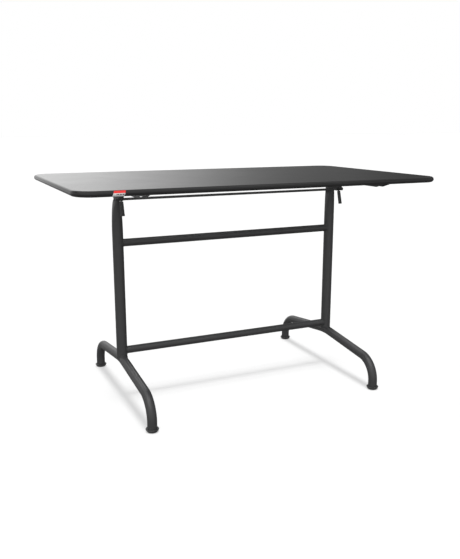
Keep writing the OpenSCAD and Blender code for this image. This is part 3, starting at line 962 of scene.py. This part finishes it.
def make_floor():
    """A plain pale floor: mostly an even glow, and a little that takes the shade of the legs."""
    size = 40.0
    mesh = bpy.data.meshes.new("floor")
    corners = [(-size, -size, 0), (size, -size, 0), (size, size, 0), (-size, size, 0)]
    mesh.from_pydata(corners, [], [(0, 1, 2, 3)])
    floor = bpy.data.objects.new("floor", mesh)
    bpy.context.scene.collection.objects.link(floor)
    material = bpy.data.materials.new("pale_floor")
    material.use_nodes = True
    tree = material.node_tree
    tree.nodes.remove(tree.nodes["Principled BSDF"])
    matt = tree.nodes.new("ShaderNodeBsdfDiffuse")
    matt.inputs["Color"].default_value = (FLOOR_GREY, FLOOR_GREY, FLOOR_GREY, 1)
    glow = tree.nodes.new("ShaderNodeEmission")
    glow.inputs["Strength"].default_value = FLOOR_GLOW
    both = tree.nodes.new("ShaderNodeAddShader")
    tree.links.new(matt.outputs["BSDF"], both.inputs[0])
    tree.links.new(glow.outputs["Emission"], both.inputs[1])
    tree.links.new(both.outputs["Shader"], tree.nodes["Material Output"].inputs["Surface"])
    mesh.materials.append(material)
    floor.visible_diffuse = False
    floor.visible_glossy = False
    return floor


def light_only(lamp, name, receivers, blockers):
    """Limits what a lamp lights and what shades it."""
    lit = bpy.data.collections.new(f"{name}_lights")
    for thing in receivers:
        lit.objects.link(thing)
    lamp.light_linking.receiver_collection = lit
    shade = bpy.data.collections.new(f"{name}_shades")
    for thing in blockers:
        shade.objects.link(thing)
    lamp.light_linking.blocker_collection = shade


def heading_ramp(tree, fraction, stops):
    """Grey levels by compass heading: 0 is straight back, 90 to the right, -90 to the left."""
    ramp = tree.nodes.new("ShaderNodeValToRGB")
    elements = ramp.color_ramp.elements
    while len(elements) < len(stops):
        elements.new(0.5)
    for element, (degrees, level) in zip(elements, stops):
        element.position = (degrees + 180) / 360
        element.color = (level, level, level, 1)
    tree.links.new(fraction, ramp.inputs["Fac"])
    return ramp.outputs["Color"]


def map_range(tree, value, from_low, from_high, kind="LINEAR"):
    """Maps a range of values to 0 to 1."""
    node = tree.nodes.new("ShaderNodeMapRange")
    node.interpolation_type = kind
    node.inputs["From Min"].default_value = from_low
    node.inputs["From Max"].default_value = from_high
    tree.links.new(value, node.inputs["Value"])
    return node.outputs["Result"]


# Brightness of the studio's walls and of what lies below them, by heading
WALLS = ((-180, 0.78), (-110, 0.76), (-60, 0.55), (-10, 0.55), (3, 1.15), (9, 1.15), (14, 0.93),
         (16, 0.79), (19, 0.62), (21.5, 0.48), (24, 0.35), (26.5, 0.25), (29, 0.19), (32, 0.15),
         (35, 0.13), (40, 0.07), (70, 0.10), (120, 0.45), (180, 0.78))
GROUND = ((-180, 0.26), (-90, 0.26), (-40, 0.20), (6, 0.30), (13, 0.60), (19, 0.55), (26, 0.24),
          (34, 0.08), (60, 0.06), (110, 0.20), (180, 0.26))
CEILING = (0.30, 0.30, 0.30, 1)
# Sines of the elevations between which the ground becomes wall, and the wall becomes ceiling
GROUND_TO_WALL = (-0.14, -0.09)
WALL_TO_CEILING = (0.15, 0.60)


def make_world():
    """White to the camera; to the object, a studio that is bright straight back and dim at the right."""
    world = bpy.data.worlds.new("studio")
    bpy.context.scene.world = world
    world.use_nodes = True
    tree = world.node_tree
    nodes, links = tree.nodes, tree.links
    seen = nodes["Background"]
    seen.inputs["Color"].default_value = (1, 1, 1, 1)
    place = nodes.new("ShaderNodeTexCoord")
    split = nodes.new("ShaderNodeSeparateXYZ")
    links.new(place.outputs["Generated"], split.inputs["Vector"])
    heading = nodes.new("ShaderNodeMath")
    heading.operation = "ARCTAN2"
    links.new(split.outputs["X"], heading.inputs[0])
    links.new(split.outputs["Y"], heading.inputs[1])
    fraction = map_range(tree, heading.outputs["Value"], -math.pi, math.pi)
    walls = heading_ramp(tree, fraction, WALLS)
    ground = heading_ramp(tree, fraction, GROUND)
    ceiling = nodes.new("ShaderNodeRGB")
    ceiling.outputs["Color"].default_value = CEILING
    high = map_range(tree, split.outputs["Z"], *WALL_TO_CEILING, "SMOOTHSTEP")
    upper = blend(tree, high, walls, ceiling.outputs["Color"])
    above = map_range(tree, split.outputs["Z"], *GROUND_TO_WALL)
    lit = nodes.new("ShaderNodeBackground")
    links.new(blend(tree, above, ground, upper), lit.inputs["Color"])
    ray = nodes.new("ShaderNodeLightPath")
    choose = nodes.new("ShaderNodeMixShader")
    links.new(ray.outputs["Is Camera Ray"], choose.inputs["Fac"])
    links.new(lit.outputs["Background"], choose.inputs[1])
    links.new(seen.outputs["Background"], choose.inputs[2])
    links.new(choose.outputs["Shader"], nodes["World Output"].inputs["Surface"])


# Strength, spread in degrees and direction of each lamp, what it lights and what shades it
BROAD = (0.25, 0.35, -1.0)
LAMPS = (("key", 0.9, 100, BROAD, "table", "table"),
         ("legs", 1.2, 60, BROAD, "stand", "legs"),
         ("feet", 0.7, 50, (0.0, -0.67, -0.74), "feet", "legs"),
         ("heads", 0.10, 60, (0.15, 1.0, -0.05), "heads", "legs"),
         ("sticker", 1.2, 40, (0.3, 0.8, -0.7), "sticker", "legs"),
         ("floor_near", 12.5, 15, (0, 0, -1), "floor", "legs"),
         ("floor_wide", 6.5, 80, (0, 0, -1), "floor", "legs"))


def make_sun(name, power, spread_degrees, direction):
    """A lamp far off that shines one way, with soft shade edges."""
    light = bpy.data.lights.new(name, "SUN")
    light.energy = power
    light.angle = math.radians(spread_degrees)
    lamp = bpy.data.objects.new(name, light)
    lamp.rotation_euler = Vector(direction).to_track_quat("-Z", "Y").to_euler()
    bpy.context.scene.collection.objects.link(lamp)
    return lamp


def pieces_on(bodies):
    """The finished pieces that ride on these bodies."""
    return [thing for body, things in PIECES.items() if body in bodies for thing in things]


def lamp_groups(floor):
    """What lamps light and what shades them: the stand is all but the top, and the legs also lack
    the release."""
    table = pieces_on(PIECES)
    stand = pieces_on(PIECES.keys() - {"top"})
    return {
        "table": table,
        "stand": stand,
        "legs": pieces_on(PIECES.keys() - {"top", "release"}),
        "feet": [thing for thing in stand if thing.name.startswith(("foot", "glide"))],
        "heads": [thing for thing in table if thing.name.startswith(("column", "bracket", "finger"))],
        "sticker": [thing for thing in table if thing.name == "edge_sticker"],
        "floor": [floor],
    }


def make_lights(floor):
    """One lamp for the whole table, one more for each group that the photo shows brighter, and two
    straight down that lay the legs' shade on the floor."""
    groups = lamp_groups(floor)
    for name, power, spread_degrees, direction, lit, shading in LAMPS:
        lamp = make_sun(name, power, spread_degrees, direction)
        light_only(lamp, name, groups[lit], groups[shading])


# The camera as solved from the photo: place, degrees to the right and down, and focal length in mm
CAMERA_AT = (-0.96032, -2.08087, 0.89207)
CAMERA_YAW = 24.72
CAMERA_PITCH = 13.08
CAMERA_LENS = 43.387


def make_camera():
    """The photo's viewpoint."""
    camera = bpy.data.cameras.new("camera")
    camera.sensor_width = 36.0
    camera.sensor_fit = "AUTO"
    camera.lens = CAMERA_LENS
    camera.clip_start = 0.05
    camera.clip_end = 200.0
    eye = bpy.data.objects.new("camera", camera)
    eye.location = CAMERA_AT
    eye.rotation_euler = (math.radians(90 - CAMERA_PITCH), 0, math.radians(-CAMERA_YAW))
    bpy.context.scene.collection.objects.link(eye)
    bpy.context.scene.camera = eye


# ---- the scene ----

make_tabletop()
make_label()
make_rail("upper_rail", UPPER_RAIL_Z)
make_rail("lower_rail", LOWER_RAIL_Z)
make_rod()
make_rod_caps()
for side in SIDES:
    make_column(side)
    make_foot(side)
    make_welds(side)
    make_arm(side)
    make_arm_screws(side)
    make_bracket(side)
    make_pivot(side)
    make_stop_pad(side)
    make_hook(side)
    make_lever(side)
    make_spring(side)
    for end in ENDS:
        make_glide(side, end)

make_world()
make_lights(make_floor())
make_camera()
bpy.context.scene.view_settings.view_transform = "Standard"
